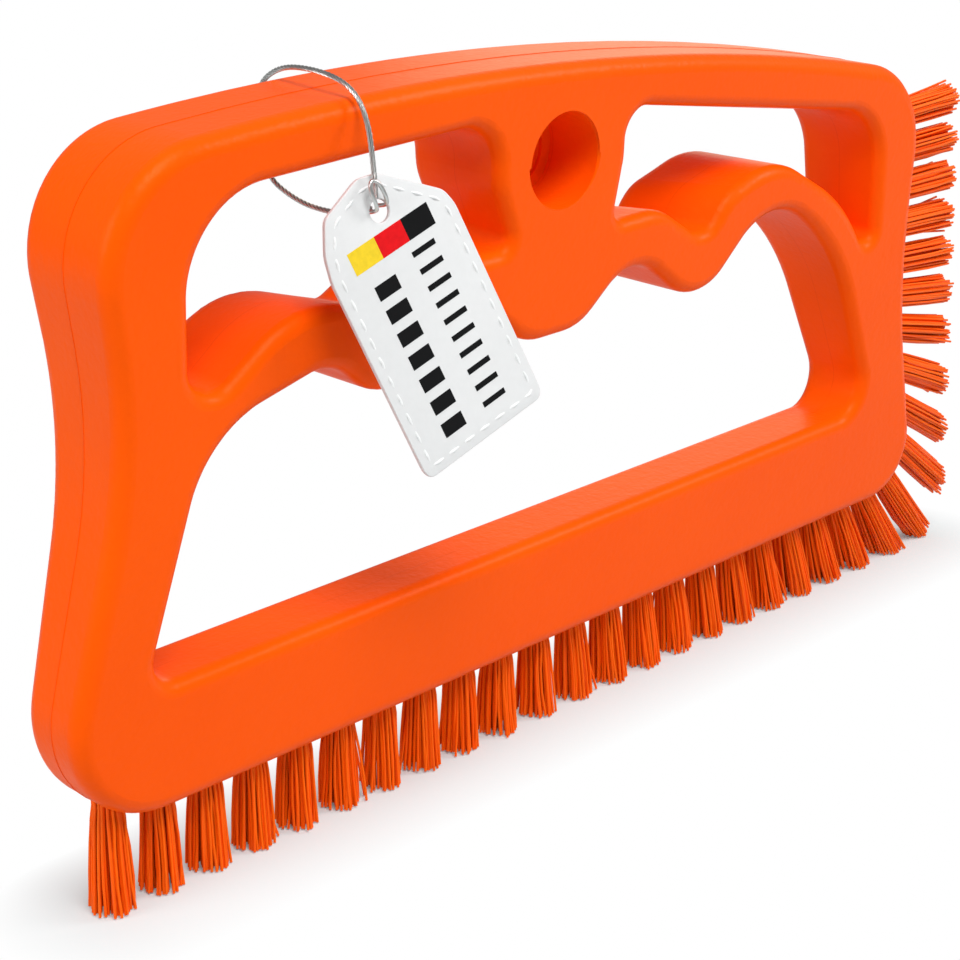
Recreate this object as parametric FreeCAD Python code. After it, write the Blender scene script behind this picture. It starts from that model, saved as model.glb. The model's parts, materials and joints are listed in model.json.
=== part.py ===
import FreeCAD, Part
import math
import os

# A hand-held grout brush: one moulded frame with three hand windows, a single row of
# bristle tufts along its foot and round its right-hand end, and a hang tag on a wire loop.
# Lengths in mm. X runs along the row of tufts, Z is up, the mid-plane of the frame is y = 0.
# Outline points are given as (along, up): along from the frame's left end, up from its foot.

V = FreeCAD.Vector

# Overall sizes: the frame's length and crown, and how far the bristles stand out of it
frame_length = 198.1
crown_up = 102.9
bristle_drop = 15.3
side_reach = 18.58
overrun = 4.0

# Frame outline
foot_thickness = 11.0
crown_thickness = 21.7
side_lean = 15.0
toe_radius = 16.0
heel_radius = 11.0
left_waist_up = 55.6
left_waist_radius = 78.0
left_shoulder_along = 4.9
left_shoulder_drop = 6.2
left_shoulder_radius = 17.5
crown_place_share = 0.507
crown_bend_share = 0.82
right_shoulder_in = 8.1
right_shoulder_drop = 19.5
right_shoulder_radius = 18.0
right_waist_up = 43.6
right_waist_radius = 118.0
outer_rounding = 2.6
window_rounding = 2.2
ridge_height = 0.08
ridge_width = 0.3
run_fill_share = 0.98

# Boss between the two upper windows, and the socket in it
boss_along = 93.4
boss_left_half = 14.2
boss_right_half = 14.8
boss_knee_drop = 21.6
boss_knee_radius = 9.0
boss_left_flare = 4.2
boss_right_flare = 2.0
boss_corner_up = 70.9
boss_corner_radius = 2.4
boss_foot_half = 6.2
boss_foot_up = 54.8
boss_foot_radius = 10.0
socket_drop = 19.6
socket_radius = 7.65
socket_depth = 10.5
socket_lead = 0.4
socket_step_radius = 5.8
socket_step_depth = 0.6

# Shares: left of the boss they are of the boss's place, right of it of the stretch from the
# boss to the frame's right-hand end.

# Lower hand window
sill_up = 20.15
sill_left = 12.7
sill_right_in = 15.4
sill_left_radius = 4.0
sill_right_radius = 6.0
hand_left_share = 0.260
hand_left_radius = 18.0
hand_left_up = 55.9
first_groove_share = 0.505
first_groove_up = 61.4
first_groove_radius = 9.0
left_bump_share = 0.620
right_bump_share = 0.341
left_bump_up = 51.0
right_bump_up = 51.6
bump_radius = 10.0
groove_offset = 18.5
groove_up = 64.8
groove_radius = 9.5
last_groove_share = 0.516
last_groove_up = 68.4
last_groove_radius = 13.5
hand_right_share = 0.709
hand_right_up = 55.2
hand_right_radius = 43.0

# Upper left window
left_wall = 20.9
left_corner_up = 57.3
left_corner_radius = 4.5
left_crest_share = 0.413
left_crest_up = 72.2
left_crest_radius = 20.0
left_valley_share = 0.648
left_valley_up = 65.4
left_hump_share = 0.770
left_top_outer_drop = 13.2
left_top_inner_drop = 11.4
left_top_radius = 14.0
left_top_inner_radius = 7.0

# Upper right window
right_wall_in = 21.4
right_wall_lean = 2.3
right_hump_share = 0.205
right_valley_share = 0.314
right_valley_up = 63.9
right_edge_share = 0.361
right_edge_up = 70.2
right_edge_radius = 10.0
right_crest_share = 0.504
right_crest_up = 75.0
right_crest_radius = 18.0
right_slope_share = 0.721
right_slope_up = 63.1
right_slope_radius = 36.0
right_tip_up = 48.9
right_tip_radius = 2.1
right_top_outer_drop = 24.8
right_top_outer_radius = 12.0
right_top_inner_drop = 13.4
right_top_inner_radius = 4.5

# The wave under both upper windows: a hump beside the boss, then a tight valley. The finger
# rests run aslant through the frame: further right at the front face than at the rear.
hump_up = 71.1
hump_radius = 13.0
valley_radius = 3.5
wave_skew = 4.5
crest_skew_share = 0.5

# Tufts: a folded bundle of filaments in a drilled hole, held by a flat anchor
hole_radius = 2.5
hole_depth = 6.5
tuft_clearance = 0.08
bristle_length = 23.9
foot_tip_radius = 3.4
side_tip_radius = 2.7
first_tuft = 8.7
last_tuft_in = 8.2
pitch_fade = 0.057
straight_tufts = 12
foot_tufts = 22
fan_angles = (0, 0, 0, 0, 0, 0, 0, 0, 0, 1, 3, 5, 6, 7, 8, 10, 12, 14, 16.5, 20, 25, 34)
side_angles = (42, 52, 60, 67.4, 76, 81.5, 85.2, 87, 89, 90, 91.5)
side_first_up = 3.6
side_last_drop = 29.3
side_place_shares = (0, 0.086, 0.200, 0.312, 0.419, 0.512, 0.604, 0.700, 0.799, 0.900, 1)
side_trim_lean = 3.76
reach_level_share = 0.6
anchor_bite = 0.35
anchor_thickness = 0.4
anchor_height = 2.0
anchor_fold = 1.2
anchor_clearance = 0.04

# Hang tag, its place and its pose
tag_width = 23.4
tag_length = 42.8
tag_thickness = 0.8
tag_hole_radius = 1.65
tag_hole_drop = 5.6
tag_hole_along = 50.5
tag_hole_front = 14.0
tag_hole_up = 83.96
tag_turn = -9.1
tag_lean = -12.3
tag_swing = -20.6
tag_shares = (
    (-0.10, 0.0), (0.20, 0.02), (0.93, 0.19), (1, 0.25), (1, 0.97), (0.94, 1),
    (-0.94, 1), (-1, 0.97), (-1, 0.25), (-0.93, 0.16), (-0.72, 0.055),
)

# Wire loop round the top bar: its route (x, y, z) from the front of the tag, over the bar
# and back under it to the rear of the tag
wire_diameter = 0.8
bend_share = 0.45
wire_route = (
    (-58.7, -14.5, 101.3), (-58.7, -14.2, 105.9), (-58.7, -12.9, 112.9), (-58.4, -9.0, 116.5),
    (-57.7, -1.0, 117.3), (-56.7, 7.5, 116.4), (-55.7, 13.8, 112.6), (-55.5, 14.6, 105.9),
    (-55.7, 12.5, 99.4), (-56.1, 5.0, 96.9), (-56.7, -2.6, 96.8), (-57.2, -7.6, 97.9),
    (-57.6, -12.2, 99.3),
)

# Bight of the wire through the tag's hole
hitch_diameter = 0.6
hitch_half = 0.85
hitch_front = 2.05
hitch_back = 1.6
hitch_up = 0.5
hitch_top = 4.0

bristle_end = frame_length + side_reach
centre_along = (bristle_end - ridge_height) / 2
socket_up = crown_up - socket_drop
boss_left_wall = boss_along - boss_left_half
boss_right_wall = boss_along + boss_right_half
boss_knee_up = crown_up - boss_knee_drop
right_wall = frame_length - right_wall_in
right_shoulder_along = frame_length - right_shoulder_in


def place(along, up, y=0.0):
    return V(along - centre_along, y, up + bristle_drop)


def half_thickness(up):
    return (foot_thickness + (crown_thickness - foot_thickness) * up / crown_up) / 2


def left_part(share):
    return boss_along * share


def right_part(share):
    return boss_along + (frame_length - boss_along) * share


def bend(before, corner, after, radius):
    """Start, middle and end of the arc that rounds a corner between two straight runs."""
    to_before = (before - corner).normalize()
    to_after = (after - corner).normalize()
    half = to_before.getAngle(to_after) / 2
    reach = radius / math.tan(half)
    middle = (to_before + to_after).normalize() * (radius / math.sin(half) - radius)
    return corner + to_before * reach, corner + middle, corner + to_after * reach


def fitting_radii(points, radii):
    """The radius of each corner, as large as asked or as the two runs beside it have room for."""
    count = len(points)
    reaches = []
    for i in range(count):
        corner = points[i]
        half = (points[i - 1] - corner).getAngle(points[(i + 1) % count] - corner) / 2
        reaches.append(radii[i] / math.tan(half))
    rooms = []
    for i in range(count):
        run = (points[(i + 1) % count] - points[i]).Length
        rooms.append(min(1, run_fill_share * run / (reaches[i] + reaches[(i + 1) % count])))
    return [radii[i] * min(rooms[i - 1], rooms[i]) for i in range(count)]


def rounded_wire(corners):
    """Closed outline on the mid-plane from (along, up, radius) corners."""
    points = [place(along, up) for along, up, radius in corners]
    radii = fitting_radii(points, [radius for along, up, radius in corners])
    count = len(points)
    bends = [bend(points[i - 1], points[i], points[(i + 1) % count], radii[i]) for i in range(count)]
    edges = []
    for i in range(count):
        start, middle, end = bends[i]
        edges.append(Part.Arc(start, middle, end).toShape())
        edges.append(Part.LineSegment(end, bends[(i + 1) % count][0]).toShape())
    return Part.Wire(edges)


def slab(wire, width):
    face = Part.Face(wire)
    face.translate(V(0, -width / 2, 0))
    return face.extrude(V(0, width, 0))


def crown_radius(left, crown, right):
    """Radius of the long crown arc, whose ends stand at a share of the shorter side."""
    half = (left - crown).getAngle(right - crown) / 2
    return crown_bend_share * min((left - crown).Length, (right - crown).Length) * math.tan(half)


def frame_corners():
    lean = math.radians(side_lean)
    step_in = math.tan((math.pi / 2 + lean) / 2)
    toe = toe_radius - toe_radius * step_in
    heel = frame_length - heel_radius + heel_radius * step_in
    left = (left_shoulder_along, crown_up - left_shoulder_drop)
    crown = (frame_length * crown_place_share, crown_up)
    right = (right_shoulder_along, crown_up - right_shoulder_drop)
    return (
        (toe, 0, toe_radius),
        (toe + left_waist_up * math.tan(lean), left_waist_up, left_waist_radius),
        (*left, left_shoulder_radius),
        (*crown, crown_radius(place(*left), place(*crown), place(*right))),
        (*right, right_shoulder_radius),
        (heel - right_waist_up * math.tan(lean), right_waist_up, right_waist_radius),
        (heel, 0, heel_radius),
    )


def hand_window():
    return (
        (sill_left, sill_up, sill_left_radius),
        (left_part(hand_left_share), hand_left_up, hand_left_radius),
        (left_part(first_groove_share), first_groove_up, first_groove_radius),
        (left_part(left_bump_share), left_bump_up, bump_radius),
        (boss_along - groove_offset, groove_up, groove_radius),
        (boss_along - boss_foot_half, boss_foot_up, boss_foot_radius),
        (boss_along + boss_foot_half, boss_foot_up, boss_foot_radius),
        (boss_along + groove_offset, groove_up, groove_radius),
        (right_part(right_bump_share), right_bump_up, bump_radius),
        (right_part(last_groove_share), last_groove_up, last_groove_radius),
        (right_part(hand_right_share), hand_right_up, hand_right_radius),
        (frame_length - sill_right_in, sill_up, sill_right_radius),
    )


def left_window(skew):
    return (
        (left_wall, left_corner_up, left_corner_radius),
        (left_wall, crown_up - left_top_outer_drop, left_top_radius),
        (boss_left_wall, crown_up - left_top_inner_drop, left_top_inner_radius),
        (boss_left_wall, boss_knee_up, boss_knee_radius),
        (boss_left_wall + boss_left_flare, boss_corner_up, boss_corner_radius),
        (left_part(left_hump_share) + skew, hump_up, hump_radius),
        (left_part(left_valley_share) + skew, left_valley_up, valley_radius),
        (left_part(left_crest_share) + skew * crest_skew_share, left_crest_up, left_crest_radius),
    )


def right_window(skew):
    return (
        (boss_right_wall - boss_right_flare, boss_corner_up, boss_corner_radius),
        (boss_right_wall, boss_knee_up, boss_knee_radius),
        (boss_right_wall, crown_up - right_top_inner_drop, right_top_inner_radius),
        (right_wall, crown_up - right_top_outer_drop, right_top_outer_radius),
        (right_wall + right_wall_lean, right_tip_up, right_tip_radius),
        (right_part(right_slope_share), right_slope_up, right_slope_radius),
        (right_part(right_crest_share) + skew * crest_skew_share, right_crest_up, right_crest_radius),
        (right_part(right_edge_share) + skew, right_edge_up, right_edge_radius),
        (right_part(right_valley_share) + skew, right_valley_up, valley_radius),
        (right_part(right_hump_share) + skew, hump_up, hump_radius),
    )


def rim_edges(shape, outline, side):
    """Edges of the sloping rear (side 1) or front (side -1) face that follow an outline."""
    rims = []
    for face in shape.Faces:
        normal = face.normalAt(0, 0)
        if isinstance(face.Surface, Part.Plane) and side * normal.y > abs(normal.z) + abs(normal.x):
            rims.extend(face.Wires)
    extent = outline.BoundBox.DiagonalLength
    return min(rims, key=lambda rim: abs(rim.BoundBox.DiagonalLength - extent)).Edges


def wedge():
    """Rear half of the frame's thickness, thin at the foot and thick at the crown."""
    low = -overrun
    high = crown_up + overrun
    points = [
        place(-overrun, low),
        place(-overrun, high),
        place(-overrun, high, half_thickness(high)),
        place(-overrun, low, half_thickness(low)),
    ]
    face = Part.Face(Part.makePolygon(points + points[:1]))
    return face.extrude(V(bristle_end + overrun, 0, 0))


def mirrored(half):
    return half.fuse(half.mirror(V(0, 0, 0), V(0, 1, 0))).removeSplitter()


def window_tool(front_corners, rear_corners, blank):
    """What a window takes out of the blank: its opening, with rounded rims on both faces."""
    front = rounded_wire(front_corners)
    front.translate(V(0, -crown_thickness / 2, 0))
    rear = rounded_wire(rear_corners)
    rear.translate(V(0, crown_thickness / 2, 0))
    pierced = blank.cut(Part.makeLoft([front, rear], True, True))
    rims = rim_edges(pierced, rear, 1) + rim_edges(pierced, front, -1)
    return blank.cut(pierced.makeFillet(window_rounding, rims))


def frame_blank():
    """The moulding before drilling: two mirrored halves with a parting ridge, and the windows."""
    outline = rounded_wire(frame_corners())
    half = slab(outline, crown_thickness + overrun).common(wedge())
    blank = mirrored(half)
    frame = mirrored(half.makeFillet(outer_rounding, rim_edges(half, outline, 1)))
    frame = frame.fuse(slab(outline.makeOffset2D(ridge_height), ridge_width))
    skew = wave_skew * crown_thickness / 2 / half_thickness(hump_up)
    windows = [(hand_window(), hand_window())]
    for corners in (left_window, right_window):
        windows.append((corners(skew), corners(-skew)))
    for front, rear in windows:
        frame = frame.cut(window_tool(front, rear, blank))
    return frame.removeSplitter()


def socket_tool():
    mouth = place(boss_along, socket_up, -half_thickness(socket_up))
    inward = V(0, 1, 0)
    bore = Part.makeCylinder(socket_radius, overrun + socket_depth, mouth - inward * overrun, inward)
    step_length = socket_depth + socket_step_depth
    step = Part.makeCylinder(socket_step_radius, step_length, mouth, inward)
    lead = Part.makeCone(socket_radius + socket_lead, socket_radius, socket_lead, mouth, inward)
    return bore.fuse([step, lead])


def heel_outline(up):
    """How far along the frame's right-hand side stands at a height."""
    lean = math.radians(side_lean)
    bend_up = heel_radius * (1 + math.sin(lean))
    if up < bend_up:
        return frame_length - heel_radius + math.sqrt(heel_radius ** 2 - (heel_radius - up) ** 2)
    heel = frame_length - heel_radius + heel_radius * math.tan((math.pi / 2 + lean) / 2)
    return max(heel - up * math.tan(lean), right_shoulder_along)


def toe_outline(along):
    """Height of the frame's underside at its rounded ends."""
    from_toe = max(toe_radius - along, 0)
    from_heel = max(along - frame_length + heel_radius, 0)
    toe_rise = toe_radius - math.sqrt(toe_radius ** 2 - from_toe ** 2)
    return toe_rise + heel_radius - math.sqrt(heel_radius ** 2 - from_heel ** 2)


def tuft_seats():
    """Mouth and outward direction of every tuft hole, from the toe round to the right shoulder."""
    seats = []
    fades = [pitch_fade * max(i + 1 - straight_tufts, 0) ** 2 for i in range(foot_tufts)]
    pitch = (frame_length - last_tuft_in - first_tuft + fades[-1]) / (foot_tufts - 1)
    for i in range(foot_tufts):
        along = first_tuft + pitch * i - fades[i]
        seats.append((place(along, toe_outline(along)), fan_angles[i]))
    side_row = crown_up - side_last_drop - side_first_up
    for share, angle in zip(side_place_shares, side_angles):
        up = side_first_up + side_row * share
        seats.append((place(heel_outline(up), up), angle))
    return [(mouth, V(math.sin(math.radians(a)), 0, -math.cos(math.radians(a)))) for mouth, a in seats]


def anchor_solid(mouth, out, slack):
    """Flat strip across the hole, standing along it; slack makes the space for it."""
    reach = 2 * (hole_radius + anchor_bite + slack)
    thick = anchor_thickness + 2 * slack
    tall = anchor_height + 2 * slack
    foot = mouth - out * (hole_depth - anchor_fold + slack)
    side = out.cross(V(0, 1, 0))
    half = side * (thick / 2) + V(0, reach / 2, 0)
    flat = V(0, reach / 2, 0) - side * (thick / 2)
    corners = [foot - half, foot - flat, foot + half, foot + flat]
    return Part.Face(Part.makePolygon(corners + corners[:1])).extrude(out * tall)


def trim_block():
    """Space inside the trimmed ends of the bristles: above the floor and left of the side plane."""
    top = crown_up + overrun
    slope = math.tan(math.radians(side_trim_lean))
    level = -bristle_drop * reach_level_share
    points = [
        place(-overrun, -bristle_drop),
        place(bristle_end + slope * (level + bristle_drop), -bristle_drop),
        place(bristle_end - slope * (top - level), top),
        place(-overrun, top),
    ]
    return slab(Part.makePolygon(points + points[:1]), foot_thickness + overrun)


def tuft_solid(mouth, out, tip_radius, trim):
    """One bundle: a straight root in the hole, then bristles spreading to the trimmed ends."""
    root_radius = hole_radius - tuft_clearance
    root_length = hole_depth - tuft_clearance
    spread = (tip_radius - root_radius) / bristle_drop
    root = Part.makeCylinder(root_radius, root_length, mouth - out * root_length, out)
    end_radius = root_radius + spread * bristle_length
    bristles = Part.makeCone(root_radius, end_radius, bristle_length, mouth, out)
    return root.fuse(bristles).removeSplitter().common(trim).cut(anchor_solid(mouth, out, anchor_clearance))


def frame_solid(seats):
    frame = frame_blank().cut(socket_tool())
    tools = []
    for mouth, out in seats:
        hole = Part.makeCylinder(hole_radius, hole_depth + overrun, mouth - out * hole_depth, out)
        tools.append(hole.fuse(anchor_solid(mouth, out, anchor_clearance)))
    return frame.cut(tools)


def pose_tag(shape):
    """Turn a shape drawn about the tag's hole, facing -Y, into the tag's hanging pose."""
    origin = V(0, 0, 0)
    shape.rotate(origin, V(0, 1, 0), tag_swing)
    shape.rotate(origin, V(1, 0, 0), tag_lean)
    shape.rotate(origin, V(0, 0, 1), tag_turn)
    shape.translate(place(tag_hole_along, tag_hole_up, -tag_hole_front))
    return shape


def tag_solid():
    points = [V(x * tag_width / 2, 0, tag_hole_drop - z * tag_length) for x, z in tag_shares]
    card = slab(Part.makePolygon(points + points[:1]), tag_thickness)
    through = tag_thickness + overrun
    hole = Part.makeCylinder(tag_hole_radius, through, V(0, -through / 2, 0), V(0, 1, 0))
    return pose_tag(card.cut(hole))


def bent_wire(points, diameter):
    """Round wire along straight runs joined by tangent arcs; also gives its bend radii."""
    edges = []
    radii = []
    start = points[0]
    for before, corner, after in zip(points, points[1:], points[2:]):
        shorter = min((corner - before).Length, (after - corner).Length)
        half = (before - corner).getAngle(after - corner) / 2
        radii.append(bend_share * shorter * math.tan(half))
        first, middle, last = bend(before, corner, after, radii[-1])
        edges.append(Part.LineSegment(start, first).toShape())
        edges.append(Part.Arc(first, middle, last).toShape())
        start = last
    edges.append(Part.LineSegment(start, points[-1]).toShape())
    path = Part.Wire(edges)
    ring = Part.Wire(Part.makeCircle(diameter / 2, points[0], points[1] - points[0]))
    return path.makePipeShell([ring], True, True), path, radii


def hitch_points():
    return [
        V(-hitch_half, hitch_back, hitch_up),
        V(-hitch_half, -hitch_front, hitch_up),
        V(-hitch_half, -hitch_front, hitch_top),
        V(hitch_half, -hitch_front, hitch_top),
        V(hitch_half, -hitch_front, hitch_up),
        V(hitch_half, hitch_back, hitch_up),
    ]


def main():
    os.makedirs("parts", exist_ok=True)
    seats = tuft_seats()
    pieces = {"brush_body": frame_solid(seats)}
    trim = trim_block()
    for i, (mouth, out) in enumerate(seats):
        tip_radius = foot_tip_radius if i < foot_tufts else side_tip_radius
        pieces["tuft_%02d" % (i + 1)] = tuft_solid(mouth, out, tip_radius, trim)
    pieces["tuft_anchors"] = Part.makeCompound([anchor_solid(mouth, out, 0) for mouth, out in seats])
    pieces["hang_tag"] = tag_solid()
    wire, path, radii = bent_wire([V(*point) for point in wire_route], wire_diameter)
    ideal = math.pi * wire_diameter ** 2 / 4 * path.Length
    print("wire bend radii", [round(radius, 1) for radius in radii])
    print("wire length", round(path.Length, 1), "volume over section times length", wire.Volume / ideal)
    pieces["tag_wire"] = wire
    pieces["wire_hitch"] = pose_tag(bent_wire(hitch_points(), hitch_diameter)[0])
    for name, shape in pieces.items():
        shape.exportStep("parts/" + name + ".step")
        box = shape.BoundBox
        sizes = [round(value, 2) for value in (box.XMin, box.XMax, box.YMin, box.YMax, box.ZMin, box.ZMax)]
        print(name, len(shape.Solids), shape.isValid(), round(shape.Volume, 1), sizes)


main()
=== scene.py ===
# %% [markdown]
# # A grout brush
# The brush is one orange moulded frame with a row of bristle tufts along its foot and round
# its right-hand end. A white tag hangs from its top bar on a loop of thin steel cable. The
# frame's shape comes ready made from the CAD model, so this lesson gives it a finish, grows
# the bristles filament by filament, and lays the cable and the tag where the CAD puts them.

# %% Load the CAD frame
import json
import math
import random

import bmesh
import bpy
import numpy as np
from mathutils import Matrix, Vector
from mathutils.bvhtree import BVHTree


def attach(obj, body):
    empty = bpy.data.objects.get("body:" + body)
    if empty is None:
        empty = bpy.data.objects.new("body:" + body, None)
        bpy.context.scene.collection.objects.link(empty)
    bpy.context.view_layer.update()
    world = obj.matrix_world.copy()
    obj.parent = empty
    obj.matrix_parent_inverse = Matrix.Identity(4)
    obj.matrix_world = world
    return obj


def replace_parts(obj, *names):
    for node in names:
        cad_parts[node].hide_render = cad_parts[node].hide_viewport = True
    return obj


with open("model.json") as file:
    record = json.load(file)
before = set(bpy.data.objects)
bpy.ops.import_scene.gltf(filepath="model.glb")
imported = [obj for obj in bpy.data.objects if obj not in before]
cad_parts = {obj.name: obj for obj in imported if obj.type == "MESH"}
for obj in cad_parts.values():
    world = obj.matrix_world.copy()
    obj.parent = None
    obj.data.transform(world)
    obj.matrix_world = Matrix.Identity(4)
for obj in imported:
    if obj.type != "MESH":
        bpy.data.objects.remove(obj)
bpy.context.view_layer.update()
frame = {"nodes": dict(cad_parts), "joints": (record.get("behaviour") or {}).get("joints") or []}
nodes = frame["nodes"]
MM = 0.001

# %% [markdown]
# ## Camera first
# The camera stands where the photographer stood: to the left and above, looking down at the
# brush with a long lens, so that the near end looms only a little. A place, a heading and a
# tilt are all it needs, and they are easier to read than a rotation matrix.

# %% Camera
CAMERA_PLACE = (-0.27024, -0.24415, 0.17938)
CAMERA_HEADING = 45.29
CAMERA_TILT = 21.0
CAMERA_LENS = 86.68

camera_data = bpy.data.cameras.new("camera")
camera_data.lens = CAMERA_LENS
camera = bpy.data.objects.new("camera", camera_data)
camera.location = CAMERA_PLACE
camera.rotation_euler = (math.radians(90 - CAMERA_TILT), 0, math.radians(-CAMERA_HEADING))
bpy.context.scene.collection.objects.link(camera)
bpy.context.scene.camera = camera
print("camera", CAMERA_LENS, "mm lens")

# %% [markdown]
# ## Shader maths as plain expressions
# A finish is a sum of small effects, and a sum reads best as a sum. This class wraps one
# output of a node. Plus, minus and times on it add Math nodes, and `node` adds any other.

# %% Socket wrapper
class Value:
    """One output in a material's node tree."""

    def __init__(self, tree, socket=None):
        self.tree = tree
        self.socket = socket

    def node(self, kind, settings=None, inputs=None, output=0):
        made = self.tree.nodes.new(kind)
        for name, setting in (settings or {}).items():
            setattr(made, name, setting)
        for key, value in (inputs or {}).items():
            if isinstance(value, Value):
                self.tree.links.new(value.socket, made.inputs[key])
            else:
                made.inputs[key].default_value = value
        return Value(self.tree, made.outputs[output] if made.outputs else None)

    def math(self, operation, first, second):
        return self.node("ShaderNodeMath", {"operation": operation}, {0: first, 1: second})

    def __add__(self, other):
        return self.math("ADD", self, other)

    def __sub__(self, other):
        return self.math("SUBTRACT", self, other)

    def __rsub__(self, other):
        return self.math("SUBTRACT", other, self)

    def __mul__(self, other):
        return self.math("MULTIPLY", self, other)

    __radd__ = __add__
    __rmul__ = __mul__


# %% [markdown]
# Five small helpers keep the finishes short. Colours are written as a screen shows them and
# turned into linear light, and noise is measured in the object's own metres, so that a grain
# keeps its real size wherever the brush is moved.

# %% Small shader helpers
def colour(red, green, blue):
    """A colour as read off a screen, 0 to 255, in the linear light that shaders use."""
    shares = [part / 255 for part in (red, green, blue)]
    return (*[s / 12.92 if s < 0.04045 else ((s + 0.055) / 1.055) ** 2.4 for s in shares], 1)


def new_finish(name):
    material = bpy.data.materials.new(name)
    material.use_nodes = True
    material.node_tree.nodes.clear()
    return material, Value(material.node_tree)


def close_finish(start, sockets):
    shader = start.node("ShaderNodeBsdfPrincipled", None, sockets)
    start.node("ShaderNodeOutputMaterial", None, {"Surface": shader})


def noise(start, scale, detail=2.0, stretch=(1, 1, 1)):
    """Noise in the object's own metres; a scale of 1000 has grains of about a millimetre."""
    place = start.node("ShaderNodeTexCoord", output="Object")
    place = start.node("ShaderNodeVectorMath", {"operation": "MULTIPLY"}, {0: place, 1: stretch})
    return start.node("ShaderNodeTexNoise", None, {"Vector": place, "Scale": scale, "Detail": detail})


def blend_colours(start, share, first, second):
    return start.node("ShaderNodeMix", {"data_type": "RGBA"}, {0: share, 6: first, 7: second}, output=2)


def bump(start, height, depth, strength=1.0):
    return start.node("ShaderNodeBump", None, {"Height": height, "Distance": depth, "Strength": strength})


# %% [markdown]
# ## The moulded frame
# The frame is moulded in one shot of orange plastic. Its mould was etched, so the skin has a
# fine even grain that blurs highlights, and the melt left faint clouds in the colour. These
# are noise at three scales: clouds mostly tint the skin, the grain mostly roughens it, and
# grain and broader dimples together make its relief. An image would need unwrapping first.
# Where the mould's halves met, a hairline runs round the mid-plane; the object's own y finds it.

# %% Moulded plastic finish
HAIRLINE_HALF = 0.09 * MM
HAIRLINE_STRENGTH = 0.2
CLOUD_SCALE = 38
GRAIN_SCALE = 1500
DIMPLE_SCALE = 800
SKIN_RELIEF = 0.16 * MM
SKIN_DEEP = colour(250, 81, 2)
SKIN_LIGHT = colour(255, 92, 4)
SKIN_SEAM = colour(214, 56, 2)
SKIN_GLOSS = 0.14
SKIN_ROUGHNESS = 0.27
SHEEN = (1.0, 0.52, 0.22, 1)


def moulded_plastic():
    material, start = new_finish("moulded_orange")
    clouds = noise(start, CLOUD_SCALE, detail=3)
    grain = noise(start, GRAIN_SCALE, detail=3)
    dimples = noise(start, DIMPLE_SCALE, detail=1)
    place = start.node("ShaderNodeTexCoord", output="Object")
    across = start.node("ShaderNodeSeparateXYZ", None, {0: place}, output="Y")
    hairline = start.math("LESS_THAN", start.math("ABSOLUTE", across, 0.0), HAIRLINE_HALF)
    skin = blend_colours(start, clouds * 0.7 + grain * 0.3, SKIN_DEEP, SKIN_LIGHT)
    close_finish(start, {
        "Base Color": blend_colours(start, hairline * HAIRLINE_STRENGTH, skin, SKIN_SEAM),
        "Roughness": SKIN_ROUGHNESS + grain * 0.10 + clouds * 0.05,
        "Normal": bump(start, grain * 0.3 + dimples * 0.7, SKIN_RELIEF, strength=0.5),
        "Specular IOR Level": SKIN_GLOSS,
        "Specular Tint": SHEEN,
    })
    return material


def dress(node, material):
    for slot in nodes[node].material_slots:
        slot.material = material


dress("brush_body", moulded_plastic())

# %% [markdown]
# ## Bristles
# Each tuft is a bundle of nearly a hundred nylon filaments, folded over a strip of steel in
# its hole and trimmed level. A cone with a bristle texture would look like a cone, so every
# filament is its own thin tube. The CAD solid tells where a bundle starts, which way it
# points and where it was trimmed. First come two finishes: nylon that differs a little from
# filament to filament, and drawn steel for the strips inside the holes.

# %% Bristle and anchor finishes
STREAK_SCALE = 900
BRISTLE_DEEP = colour(253, 83, 3)
BRISTLE_LIGHT = colour(255, 111, 12)
BRISTLE_GLOSS = 0.35
BRISTLE_ROUGHNESS = 0.28
DRAWN_SCALE = 700
DRAWN_STRETCH = (1, 1, 0.15)
STEEL_ROUGHNESS = 0.24
STEEL_LIGHT = colour(232, 232, 230)
ANCHOR_STEEL = colour(150, 150, 148)
CABLE_STEEL = colour(168, 168, 166)


def bristle_nylon():
    material, start = new_finish("bristle_orange")
    each = start.node("ShaderNodeNewGeometry", output="Random Per Island")
    streaks = noise(start, STREAK_SCALE)
    share = each * 0.75 + streaks * 0.25
    close_finish(start, {
        "Base Color": blend_colours(start, share, BRISTLE_DEEP, BRISTLE_LIGHT),
        "Roughness": BRISTLE_ROUGHNESS + each * 0.14,
        "Specular IOR Level": BRISTLE_GLOSS,
        "Specular Tint": SHEEN,
    })
    return material


def bright_steel(name, shade):
    material, start = new_finish(name)
    drawn = noise(start, DRAWN_SCALE, stretch=DRAWN_STRETCH)
    close_finish(start, {
        "Base Color": blend_colours(start, drawn, shade, STEEL_LIGHT),
        "Roughness": STEEL_ROUGHNESS + drawn * 0.14,
        "Metallic": 1.0,
    })
    return material


bristle_finish = bristle_nylon()
anchor_finish = bright_steel("anchor_strip", ANCHOR_STEEL)
dress("tuft_anchors", anchor_finish)
print("finishes", bristle_finish.name, anchor_finish.name)

# %% [markdown]
# Tubes are needed for filaments, stitches, the cable's strands and its hitch. One function
# serves them all: it carries a ring of points along a line, turning the ring as little as
# possible from step to step, so that the tube never twists or pinches. A curve object with a
# bevel would do the same for one line, but thousands of filaments are lighter as one mesh.

# %% Tube and piece builders
def ring_axes(line):
    """Each point of a line, with two directions square to it that turn as little as they can."""
    across = (line[1] - line[0]).orthogonal().normalized()
    for i, point in enumerate(line):
        ahead = (line[min(i + 1, len(line) - 1)] - line[max(i - 1, 0)]).normalized()
        across = (across - ahead * across.dot(ahead)).normalized()
        yield point, across, ahead.cross(across)


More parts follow.
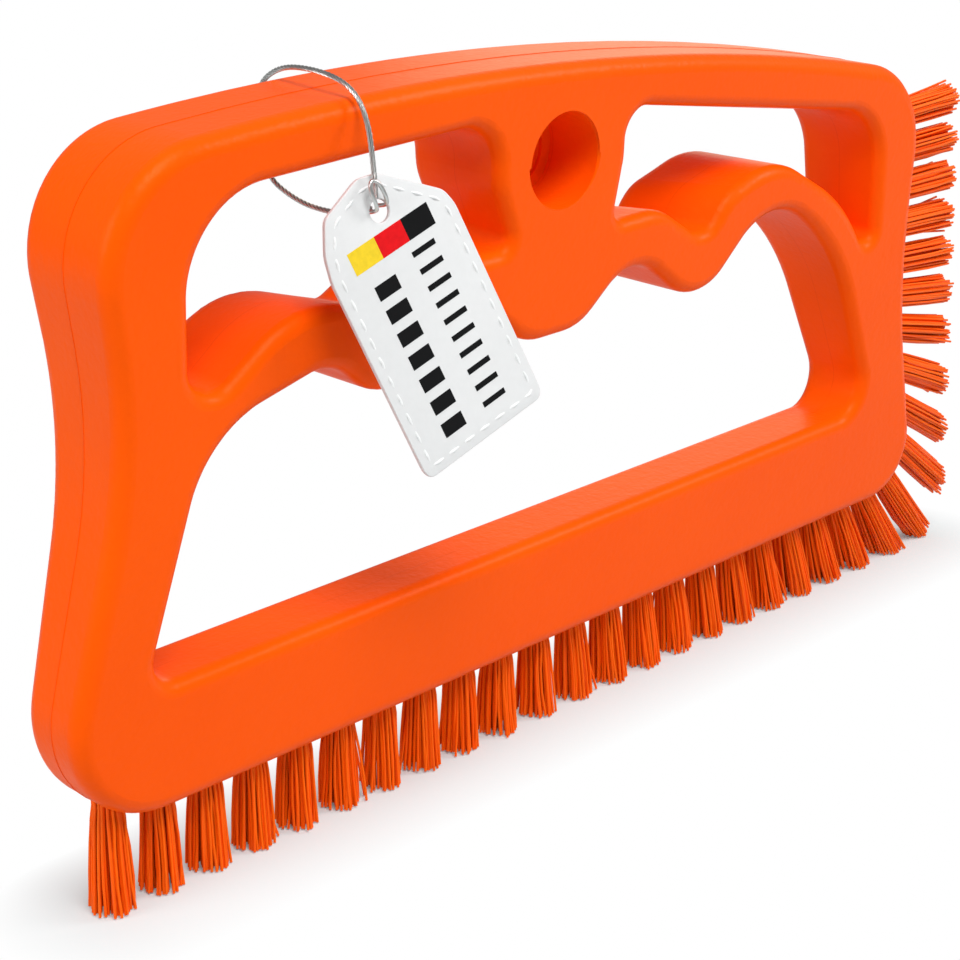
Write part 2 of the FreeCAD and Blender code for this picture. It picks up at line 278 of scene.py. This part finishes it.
def add_tube(verts, faces, line, radius, sides):
    """Add a capped round tube along a line to lists of points and faces."""
    first = len(verts)
    for point, across, beside in ring_axes(line):
        for k in range(sides):
            turn = math.tau * k / sides
            verts.append(point + (across * math.cos(turn) + beside * math.sin(turn)) * radius)
    for i in range(len(line) - 1):
        low = first + i * sides
        for k in range(sides):
            after = (k + 1) % sides
            faces.append((low + k, low + after, low + sides + after, low + sides + k))
    faces.append(tuple(range(first + sides - 1, first - 1, -1)))
    faces.append(tuple(range(len(verts) - sides, len(verts))))


def make_piece(name, verts, faces, material, body, slot, crease=40):
    mesh = bpy.data.meshes.new(name)
    mesh.from_pydata([tuple(v) for v in verts], [], faces)
    mesh.materials.append(material)
    mesh.shade_smooth()
    mesh.set_sharp_from_angle(angle=math.radians(crease))
    piece = bpy.data.objects.new(name, mesh)
    bpy.context.scene.collection.objects.link(piece)
    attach(piece, body)
    return piece


# %% [markdown]
# Where a tuft stands could be typed in by hand thirty-three times. Its CAD solid already knows:
# the longest direction through its points is its axis, and the rings of points at its root and
# at the mouth of its hole give the rest.

# %% Where a tuft stands
ROOT_LENGTH = 6.42 * MM
RING_SLACK = 0.5 * MM
BRUSH_MIDDLE = Vector((0, 0, 0.06))


def tuft_stand(node):
    """Mouth, direction, root radius and widest radius of a tuft, read from its CAD solid."""
    points = np.array([v.co for v in nodes[node].data.vertices])
    middle = points.mean(0)
    axis = np.linalg.svd(points - middle)[2][0]
    axis = axis if axis @ (middle - np.array(BRUSH_MIDDLE)) > 0 else -axis
    along = points @ axis
    root = points[along < along.min() + RING_SLACK].mean(0)
    mouth = points[abs(along - along.min() - ROOT_LENGTH) < RING_SLACK].mean(0)
    out = (mouth - root) / np.linalg.norm(mouth - root)
    spread = points - mouth - np.outer((points - mouth) @ out, out)
    widths = np.linalg.norm(spread, axis=1)
    return Vector(mouth), Vector(out), widths[along < along.min() + RING_SLACK].max(), widths.max()


print("first tuft's hole is at", [round(x / MM, 1) for x in tuft_stand("tuft_01")[0]], "mm")

# %% [markdown]
# Sunflower spacing fills a round hole evenly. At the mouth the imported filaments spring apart.
# From there each leans out to a place in the wider tip, drawn a little towards a few clump
# centres, so that the bundle shows the dark gaps that a real one has. A ray well inside the
# CAD solid finds the trimmed end, and its slope is carried on to the filament's own place.
# Ends are a little uneven, and a few filaments stray.

# %% Grow one tuft
FILAMENTS = 96
FILAMENT_RADIUS = 0.225 * MM
FILAMENT_SIDES = 6
START_DEPTH = 4.0 * MM
GOLDEN_TURN = math.pi * (3 - math.sqrt(5))
FLARE_RISE = 2.4 * MM
FLARE_SPREAD = 1.17
TIP_SPREAD = 1.08
CLUMPS = 7
CLUMP_PULL = 0.28
STRAY_CHANCE = 0.015
STRAY_REACH = (1.15, 1.3)
PLACE_WOBBLE = 0.15
TRIM_WOBBLE = 0.25 * MM
BOW_WOBBLE = 0.16 * MM
INNER_SHARE = 0.6
LINE_STEPS = (0, 0.3, 0.65, 1)
FIRST_SEED = 100


def disc_places(count, draw):
    """Even places in a disc of radius 1, each a little off."""
    places = []
    for k in range(count):
        reach = math.sqrt((k + 0.5) / count)
        turn = k * GOLDEN_TURN + draw.uniform(-PLACE_WOBBLE, PLACE_WOBBLE)
        places.append(Vector((reach * math.cos(turn), reach * math.sin(turn))))
    return places


def filament_line(start, tip, bow):
    return [start.lerp(tip, t) + bow * (4 * t * (1 - t)) for t in LINE_STEPS]


def grow_tuft(index, node):
    draw = random.Random(FIRST_SEED + index)
    mouth, out, root_radius, tip_radius = tuft_stand(node)
    mesh = nodes[node].data
    solid = BVHTree.FromPolygons([v.co for v in mesh.vertices], [p.vertices for p in mesh.polygons])
    across = out.orthogonal().normalized()
    beside = out.cross(across)
    root_radius -= FILAMENT_RADIUS
    tip_radius -= FILAMENT_RADIUS
    clumps = disc_places(CLUMPS, draw)
    trimmed = solid.ray_cast(mouth, out)[3]
    verts, faces = [], []
    for place in disc_places(FILAMENTS, draw):
        near = min(clumps, key=lambda clump: (clump - place).length)
        wide = place.lerp(near, CLUMP_PULL * draw.random()) * TIP_SPREAD
        if draw.random() < STRAY_CHANCE:
            wide = place.normalized() * draw.uniform(*STRAY_REACH)
        root = mouth + (across * place.x + beside * place.y) * root_radius
        hip = mouth + out * FLARE_RISE + (root - mouth) * FLARE_SPREAD
        aim = mouth + out * trimmed + (across * wide.x + beside * wide.y) * tip_radius
        lean = (aim - hip).normalized()
        inner = mouth + out * trimmed + (aim - mouth - out * trimmed) * INNER_SHARE
        end = solid.ray_cast(mouth, (inner - mouth).normalized())[0]
        level = trimmed + ((end - mouth).dot(out) - trimmed) / INNER_SHARE
        reach = (level - FLARE_RISE) / lean.dot(out)
        tip = hip + lean * (reach - abs(draw.gauss(0, TRIM_WOBBLE)))
        bow = across * draw.gauss(0, BOW_WOBBLE) + beside * draw.gauss(0, BOW_WOBBLE)
        line = [root - out * START_DEPTH, root] + filament_line(hip, tip, bow)
        line[-1].z = max(tip.z, FILAMENT_RADIUS)
        add_tube(verts, faces, line, FILAMENT_RADIUS, FILAMENT_SIDES)
    piece = make_piece("bristles_%02d" % index, verts, faces, bristle_finish, "brush", "bristle")
    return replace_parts(piece, node)


# %% Grow every tuft
tuft_nodes = sorted(name for name in nodes if name.startswith("tuft_") and name != "tuft_anchors")
tufts = [grow_tuft(i + 1, node) for i, node in enumerate(tuft_nodes)]
print("tufts", len(tufts), "filaments", len(tufts) * FILAMENTS)

# %% [markdown]
# ## The wire loop
# A thin steel cable goes from the front of the tag over the top bar, down behind it and back
# through the window to the tag. It is springy, so its line is one smooth curve: a NURBS
# spline pulled along by the route's points. A Bezier curve would need handles at each point,
# and the NURBS spline needs none.

# %% Cable route
CABLE_ROUTE = (
    (-0.0587, -0.0145, 0.1013), (-0.0587, -0.0142, 0.1059), (-0.0587, -0.0129, 0.1129),
    (-0.0584, -0.0090, 0.1165), (-0.0577, -0.0010, 0.1173), (-0.0567, 0.0075, 0.1164),
    (-0.0557, 0.0138, 0.1126), (-0.0555, 0.0146, 0.1059), (-0.0557, 0.0125, 0.0994),
    (-0.0561, 0.0050, 0.0969), (-0.0567, -0.0026, 0.0968), (-0.0572, -0.0076, 0.0979),
    (-0.0576, -0.0122, 0.0993),
)
CABLE_STEPS = 24
SPLINE_ORDER = 3


def spline_line(route, steps):
    """Points along the smooth spline that a route's points pull into shape."""
    curve = bpy.data.curves.new("route", "CURVE")
    curve.dimensions = "3D"
    curve.resolution_u = steps
    spline = curve.splines.new("NURBS")
    spline.points.add(len(route) - 1)
    for point, place in zip(spline.points, route):
        point.co = (*place, 1)
    spline.order_u = SPLINE_ORDER
    spline.use_endpoint_u = True
    carrier = bpy.data.objects.new("route", curve)
    bpy.context.scene.collection.objects.link(carrier)
    mesh = bpy.data.meshes.new_from_object(carrier)
    line = [v.co.copy() for v in mesh.vertices]
    bpy.data.objects.remove(carrier)
    bpy.data.curves.remove(curve)
    bpy.data.meshes.remove(mesh)
    return line


def line_length(line):
    return sum((b - a).length for a, b in zip(line, line[1:]))


cable_line = spline_line(CABLE_ROUTE, CABLE_STEPS)
print("cable", round(line_length(cable_line) / MM, 1), "mm in", len(cable_line), "points")

# %% [markdown]
# Up close a cable is six strands laid round a core. A twisted bump on one tube would fail at
# the silhouette, so a helix about the spline carries each strand as a tube of its own. Three
# strands side by side make up the diameter.

# %% Strands of the cable
CABLE_DIAMETER = 0.8 * MM
STRANDS = 6
STRANDS_ACROSS = 3
STRAND_RADIUS = CABLE_DIAMETER / (2 * STRANDS_ACROSS)
STRAND_LAY = 5.5 * MM
STRAND_SIDES = 6


def helix(line, radius, lay, phase):
    """A line wound round another at a steady lay."""
    wound = []
    travelled = 0
    for i, (point, across, beside) in enumerate(ring_axes(line)):
        travelled += (point - line[max(i - 1, 0)]).length
        turn = math.tau * travelled / lay + phase
        wound.append(point + (across * math.cos(turn) + beside * math.sin(turn)) * radius)
    return wound


steel_finish = bright_steel("cable_steel", CABLE_STEEL)
cable_verts, cable_faces = [], []
add_tube(cable_verts, cable_faces, cable_line, STRAND_RADIUS, STRAND_SIDES)
for strand in range(STRANDS):
    wound = helix(cable_line, 2 * STRAND_RADIUS, STRAND_LAY, math.tau * strand / STRANDS)
    add_tube(cable_verts, cable_faces, wound, STRAND_RADIUS, STRAND_SIDES)
cable = make_piece("steel_cable", cable_verts, cable_faces, steel_finish, "tag_loop", "wire_steel")
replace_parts(cable, "tag_wire")
print("cable faces", len(cable_faces))

# %% [markdown]
# ## Where the tag hangs
# The tag leans forward a little, is turned towards the left and has swung to the right. Its
# hole is the pivot of the tag's hinge in the model, so the hinge gives the place, and three
# turns give the pose. Everything on the tag is then drawn flat, in millimetres from the hole.

# %% Tag pose
TAG_TURN = -9.1
TAG_LEAN = -12.3
TAG_SWING = -20.6
hinge = next(joint for joint in frame["joints"] if joint["name"] == "tag_swing")
tag_pose = (
    Matrix.Translation(hinge["pos_m"])
    @ Matrix.Rotation(math.radians(TAG_TURN), 4, "Z")
    @ Matrix.Rotation(math.radians(TAG_LEAN), 4, "X")
    @ Matrix.Rotation(math.radians(TAG_SWING), 4, "Y")
)


def on_tag(x, y, z):
    return tag_pose @ (Vector((x, y, z)) * MM)


print("tag hangs at", [round(x / MM, 1) for x in hinge["pos_m"]], "mm")

# %% [markdown]
# The end of the cable goes through the tag's hole as a small bight, like the hitch on a
# luggage label. It is the same smooth spline and tube as before, only thinner.

# %% Hitch through the tag
HITCH_RADIUS = 0.3 * MM
HITCH_SIDES = 10
HITCH_STEPS = 10
HITCH_ROUTE = (
    (-0.95, 1.60, 0.4), (-0.95, -1.00, 0.3), (-0.95, -1.95, 1.2), (-0.95, -2.05, 3.6),
    (-0.35, -1.95, 4.6), (0.35, -1.95, 4.6), (0.95, -2.05, 3.6), (0.95, -1.95, 1.2),
    (0.95, -1.00, 0.3), (0.95, 1.60, 0.4),
)
hitch_line = spline_line([on_tag(*place) for place in HITCH_ROUTE], HITCH_STEPS)
hitch_verts, hitch_faces = [], []
add_tube(hitch_verts, hitch_faces, hitch_line, HITCH_RADIUS, HITCH_SIDES)
hitch = make_piece("cable_hitch", hitch_verts, hitch_faces, steel_finish, "tag_loop", "wire_steel")
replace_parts(hitch, "wire_hitch")
print("hitch", round(line_length(hitch_line) / MM, 1), "mm")

# %% [markdown]
# ## The tag
# The tag is stiff white card with stitches round its edge and print on its front. Card has
# fibres and a faint cloudiness, which are noise at two scales. Ink lies on it in a mottled
# film with hardly any gloss, so one function serves every ink and the thread as well.

# %% Card and print finishes
FIBRE_SCALE = 900
FIBRE_RELIEF = 0.03 * MM
CARD_CLOUD_SCALE = 60
CARD_DEEP = colour(214, 214, 214)
CARD_LIGHT = colour(225, 225, 225)
CARD_ROUGHNESS = 0.5
MOTTLE_SCALE = 1200
MOTTLE_DEPTH = 0.86
INK_GLOSS = 0.08
INK_ROUGHNESS = 0.42


def white_card():
    material, start = new_finish("tag_card")
    fibres = noise(start, FIBRE_SCALE, detail=4)
    clouds = noise(start, CARD_CLOUD_SCALE)
    close_finish(start, {
        "Base Color": blend_colours(start, clouds * 0.5 + fibres * 0.5, CARD_DEEP, CARD_LIGHT),
        "Roughness": CARD_ROUGHNESS + fibres * 0.15,
        "Normal": bump(start, fibres, FIBRE_RELIEF, strength=0.5),
    })
    return material


def ink(name, shade):
    material, start = new_finish(name)
    mottle = noise(start, MOTTLE_SCALE, detail=3)
    dark = tuple(part * MOTTLE_DEPTH for part in shade)
    close_finish(start, {
        "Base Color": blend_colours(start, mottle, colour(*dark), colour(*shade)),
        "Roughness": INK_ROUGHNESS + mottle * 0.1,
        "Specular IOR Level": INK_GLOSS,
    })
    return material


# %% [markdown]
# The card is cut with clipped shoulders and round corners. Its corners are shares of its width
# and length, and each is eased by a short curve. The same corners moved inwards make the line
# that the stitches follow.

# %% Outline of the tag
TAG_HALF_WIDTH = 11.7
TAG_LENGTH = 42.8
TAG_THICKNESS = 0.8
HOLE_DROP = 5.6
HOLE_RADIUS = 1.65
CORNER_RADIUS = 0.9
EASE_SHARE = 0.45
EASE_STEPS = (0, 0.33, 0.67, 1)
SHARPEST_SHARE = 0.5
TAG_SHARES = (
    (-0.10, 0.0), (0.20, 0.02), (0.93, 0.19), (1, 0.25), (1, 0.97), (0.94, 1),
    (-0.94, 1), (-1, 0.97), (-1, 0.25), (-0.93, 0.16), (-0.72, 0.055),
)


def tag_corners(inset):
    """Corners of the tag, or of a line that runs inside its edge, clockwise from the top."""
    corners = [Vector((x * TAG_HALF_WIDTH, HOLE_DROP - z * TAG_LENGTH)) for x, z in TAG_SHARES]
    inner = []
    for i, corner in enumerate(corners):
        before = (corner - corners[i - 1]).normalized()
        after = (corners[(i + 1) % len(corners)] - corner).normalized()
        inward = Vector((before.y + after.y, -before.x - after.x)).normalized()
        slant = max(inward.dot(Vector((before.y, -before.x))), SHARPEST_SHARE)
        inner.append(corner + inward * (inset / slant))
    return inner


def rounded(corners, radius):
    """The same outline with each corner eased by a short curve."""
    line = []
    for i, corner in enumerate(corners):
        before = corners[i - 1] - corner
        after = corners[(i + 1) % len(corners)] - corner
        start = corner + before.normalized() * min(radius, before.length * EASE_SHARE)
        end = corner + after.normalized() * min(radius, after.length * EASE_SHARE)
        for t in EASE_STEPS:
            line.append(start.lerp(corner, t).lerp(corner.lerp(end, t), t))
    return line


print("tag outline", len(rounded(tag_corners(0), CORNER_RADIUS)), "points")

# %% [markdown]
# The punched hole is a second loop inside the outline. Filling between the two makes a sheet,
# extruding it gives the thickness, and a narrow bevel softens the cut edges. With BMesh this is
# three calls in a row, and it needs no boolean for the hole.

# %% Cut the card
HOLE_STEPS = 40
CARD_BEVEL = 0.16
BEVEL_STEPS = 3
CUT_ANGLE = math.radians(60)


def cut_card():
    outline = rounded(tag_corners(0), CORNER_RADIUS)
    turns = [math.tau * k / HOLE_STEPS for k in range(HOLE_STEPS)]
    rim = [Vector((math.cos(turn), math.sin(turn))) * HOLE_RADIUS for turn in turns]
    work = bmesh.new()
    for loop in (outline, rim):
        ring = [work.verts.new((p.x, 0, p.y)) for p in loop]
        for i, vert in enumerate(ring):
            work.edges.new((ring[i - 1], vert))
    bmesh.ops.triangle_fill(work, use_beauty=True, edges=work.edges[:])
    sheet = bmesh.ops.extrude_face_region(work, geom=work.faces[:])
    moved = [part for part in sheet["geom"] if isinstance(part, bmesh.types.BMVert)]
    bmesh.ops.translate(work, verts=work.verts[:], vec=(0, TAG_THICKNESS / 2, 0))
    bmesh.ops.translate(work, verts=moved, vec=(0, -TAG_THICKNESS, 0))
    bmesh.ops.recalc_face_normals(work, faces=work.faces[:])
    edges = [edge for edge in work.edges if edge.calc_face_angle(0) > CUT_ANGLE]
    bmesh.ops.bevel(
        work, geom=edges, offset=CARD_BEVEL, segments=BEVEL_STEPS, profile=0.5, affect="EDGES")
    work.verts.index_update()
    verts = [on_tag(*v.co) for v in work.verts]
    faces = [tuple(v.index for v in face.verts) for face in work.faces]
    work.free()
    return verts, faces


card = make_piece("tag_card", *cut_card(), white_card(), "tag", "tag_card", crease=30)
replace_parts(card, "hang_tag")
print("card faces", len(card.data.polygons))

# %% [markdown]
# Stitches are short lengths of thread whose ends dip into the card, a little inside its edge,
# on both faces. Walking the inset outline by its length keeps them evenly spaced round the
# corners, which a repeated texture would not.

# %% Stitches
STITCH_INSET = 1.5
STITCH_LENGTH = 1.9
STITCH_PITCH = 3.1
STITCH_RADIUS = 0.24
STITCH_SIDES = 8
STITCH_STEPS = (0, 0.5, 1)
STITCH_RISES = (-0.2, 0.02, -0.2)
THREAD_SHADE = (250, 250, 250)


def walk(line, distance):
    """The point at a distance along a closed line."""
    for a, b in zip(line, line[1:] + line[:1]):
        if distance <= (b - a).length:
            return a.lerp(b, distance / (b - a).length)
        distance -= (b - a).length
    return line[0]


def stitches():
    line = rounded(tag_corners(STITCH_INSET), CORNER_RADIUS)
    around = sum((b - a).length for a, b in zip(line, line[1:] + line[:1]))
    count = round(around / STITCH_PITCH)
    verts, faces = [], []
    for i in range(count):
        for side in (-1, 1):
            steps = [i + step * STITCH_LENGTH / STITCH_PITCH for step in STITCH_STEPS]
            run = [walk(line, step * around / count) for step in steps]
            surface = side * TAG_THICKNESS / 2
            thread = [on_tag(p.x, surface + side * rise, p.y) for p, rise in zip(run, STITCH_RISES)]
            add_tube(verts, faces, thread, STITCH_RADIUS * MM, STITCH_SIDES)
    return verts, faces


thread_finish = ink("stitch_thread", THREAD_SHADE)
thread = make_piece("tag_stitches", *stitches(), thread_finish, "tag", "tag_card")
print("stitch faces", len(thread.data.polygons))

# %% [markdown]
# Print is a film of ink. A painted texture would blur up close, and thin slabs that stand a
# few hundredths of a millimetre proud of the card keep its edges crisp at any distance. Two
# rows of plain dashes fill the lower part, heavy in one row and fine in the other, as a
# printer's sample sheet would show them.

# %% Printed strip and dashes
INK_FILM = 0.03
STRIP_LEFT = -7.75
STRIP_STEP = 5.03
STRIP_TOP = -2.6
STRIP_FOOT = -6.0
BLACK_INK = (22, 22, 23)
STRIP_SHADES = (("yellow", (248, 212, 48)), ("red", (232, 24, 30)), ("black", BLACK_INK))
DASH_ROWS = (
    {"left": -6.1, "right": -2.1, "top": -8.8, "depth": 2.2, "pitch": 3.75, "count": 7},
    {"left": 1.7, "right": 6.0, "top": -7.6, "depth": 0.85, "pitch": 2.75, "count": 10},
)


def slab(left, right, top, foot):
    """A thin slab of ink on the front of the card."""
    front = -TAG_THICKNESS / 2
    corners = [(x, y, z) for y in (front + INK_FILM, front - INK_FILM)
               for x, z in ((left, foot), (right, foot), (right, top), (left, top))]
    faces = [(0, 1, 2, 3), (7, 6, 5, 4), (0, 4, 5, 1), (1, 5, 6, 2), (2, 6, 7, 3), (3, 7, 4, 0)]
    return [on_tag(*corner) for corner in corners], [face[::-1] for face in faces]


for i, (name, shade) in enumerate(STRIP_SHADES):
    left = STRIP_LEFT + i * STRIP_STEP
    patch = slab(left, left + STRIP_STEP, STRIP_TOP, STRIP_FOOT)
    make_piece("strip_" + name, *patch, ink("ink_" + name, shade), "tag", "tag_card")
dash_ink = ink("ink_dashes", BLACK_INK)
for number, row in enumerate(DASH_ROWS, 1):
    verts, faces = [], []
    for i in range(row["count"]):
        top = row["top"] - i * row["pitch"]
        points, sides = slab(row["left"], row["right"], top, top - row["depth"])
        faces += [tuple(len(verts) + k for k in side) for side in sides]
        verts += points
    make_piece("dashes_%d" % number, verts, faces, dash_ink, "tag", "tag_card")
print("printed patches", len(STRIP_SHADES), "dashes", sum(row["count"] for row in DASH_ROWS))

CABLE_LENGTH = 0.0787
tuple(CABLE_ROUTE[0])
[tuple(p) for p in cable_line]
print("cable declared", CABLE_LENGTH / MM, "mm, modelled", round(line_length(cable_line) / MM, 1), "mm")

# %% [markdown]
# ## Studio
# The brush stands on white paper in a pale room. Paper that is only lit comes out grey, so part
# of its light is its own glow, more so away from the brush's foot, while the rest still takes the
# brush's shadow. Fading the glow towards the foot paints a darker band of shade round it, on top
# of that real shadow. Its lit part is a little cool, against the orange that the brush casts on it.

# %% Floor and world
OWN_LIGHT = 0.10
OWN_GAIN = 50.0
FOOT_HALF = 0.1
FLOOR_HALF = 3.0
WHITE = (1, 1, 1, 1)
PAPER_SHADE = (0.62, 0.665, 0.67, 1)
WORLD_LIGHT = 0.26


def paper():
    material, start = new_finish("white_paper")
    seen = start.node("ShaderNodeLightPath", output="Is Camera Ray")
    place = start.node("ShaderNodeTexCoord", output="Object")
    place = start.node("ShaderNodeVectorMath", {"operation": "ABSOLUTE"}, {0: place})
    foot_end = (FOOT_HALF, 0, 0)
    place = start.node("ShaderNodeVectorMath", {"operation": "SUBTRACT"}, {0: place, 1: foot_end})
    place = start.node("ShaderNodeVectorMath", {"operation": "MAXIMUM"}, {0: place, 1: (0, 0, 0)})
    away = start.node("ShaderNodeVectorMath", {"operation": "LENGTH"}, {0: place}, output="Value")
    # The glow share grows with distance from the foot and is small near the brush, which paints shade
    # round its foot.
    own = start.math("MINIMUM", OWN_LIGHT + away * OWN_GAIN, 1.0)
    plain = start.node("ShaderNodeBsdfDiffuse", None, {"Color": PAPER_SHADE})
    glow = start.node("ShaderNodeEmission", None, {"Color": WHITE, "Strength": 1.0})
    both = start.node("ShaderNodeMixShader", None, {0: seen * own, 1: plain, 2: glow})
    start.node("ShaderNodeOutputMaterial", None, {"Surface": both})
    return material


floor_mesh = bpy.data.meshes.new("floor")
floor_signs = ((-1, -1), (1, -1), (1, 1), (-1, 1))
floor_corners = [(x * FLOOR_HALF, y * FLOOR_HALF, 0) for x, y in floor_signs]
floor_mesh.from_pydata(floor_corners, [], [(0, 1, 2, 3)])
floor_mesh.materials.append(paper())
floor = bpy.data.objects.new("floor", floor_mesh)
bpy.context.scene.collection.objects.link(floor)

world = bpy.data.worlds.new("studio")
world.use_nodes = True
world.node_tree.nodes.clear()
sky = Value(world.node_tree)
seen = sky.node("ShaderNodeLightPath", output="Is Camera Ray")
light = sky.node("ShaderNodeBackground", None, {"Color": WHITE, "Strength": WORLD_LIGHT})
shown = sky.node("ShaderNodeBackground", None, {"Color": WHITE, "Strength": 1.0})
room = sky.node("ShaderNodeMixShader", None, {0: seen, 1: light, 2: shown})
sky.node("ShaderNodeOutputWorld", None, {"Surface": room})
bpy.context.scene.world = world
bpy.context.scene.view_settings.view_transform = "Standard"
print("floor", 2 * FLOOR_HALF, "m wide, room light", WORLD_LIGHT)

# %% [markdown]
# Four soft boxes light the brush. The large one above gives it its form, a smaller one on the
# right draws the sheen along its upper edges, and one on the left lights that side. A faint
# warm one stands low behind, where the crown mirrors it at a flat angle, and pales its top.

# %% Lamps
WARM = (1.0, 0.82, 0.58)
LOW_AIM = (0, 0, 0.05)
HIGH_AIM = (0, 0, 0.08)


def soft_box(name, place, target, size, power, tint=(1, 1, 1)):
    data = bpy.data.lights.new(name, "AREA")
    data.shape = "DISK"
    data.size = size
    data.energy = power
    data.color = tint
    lamp = bpy.data.objects.new(name, data)
    lamp.location = place
    lamp.rotation_euler = (Vector(target) - Vector(place)).to_track_quat("-Z", "Y").to_euler()
    bpy.context.scene.collection.objects.link(lamp)


soft_box("top_box", (-0.20, -0.45, 0.88), LOW_AIM, size=0.5, power=7.5)
soft_box("edge_box", (0.62, -0.50, 0.64), LOW_AIM, size=0.35, power=3.5)
soft_box("back_box", (0.80, 0.62, 0.24), HIGH_AIM, size=0.4, power=0.6, tint=WARM)
soft_box("side_box", (-0.85, 0.20, 0.42), HIGH_AIM, size=0.5, power=3.2)
print("lit by four soft boxes and a pale room")
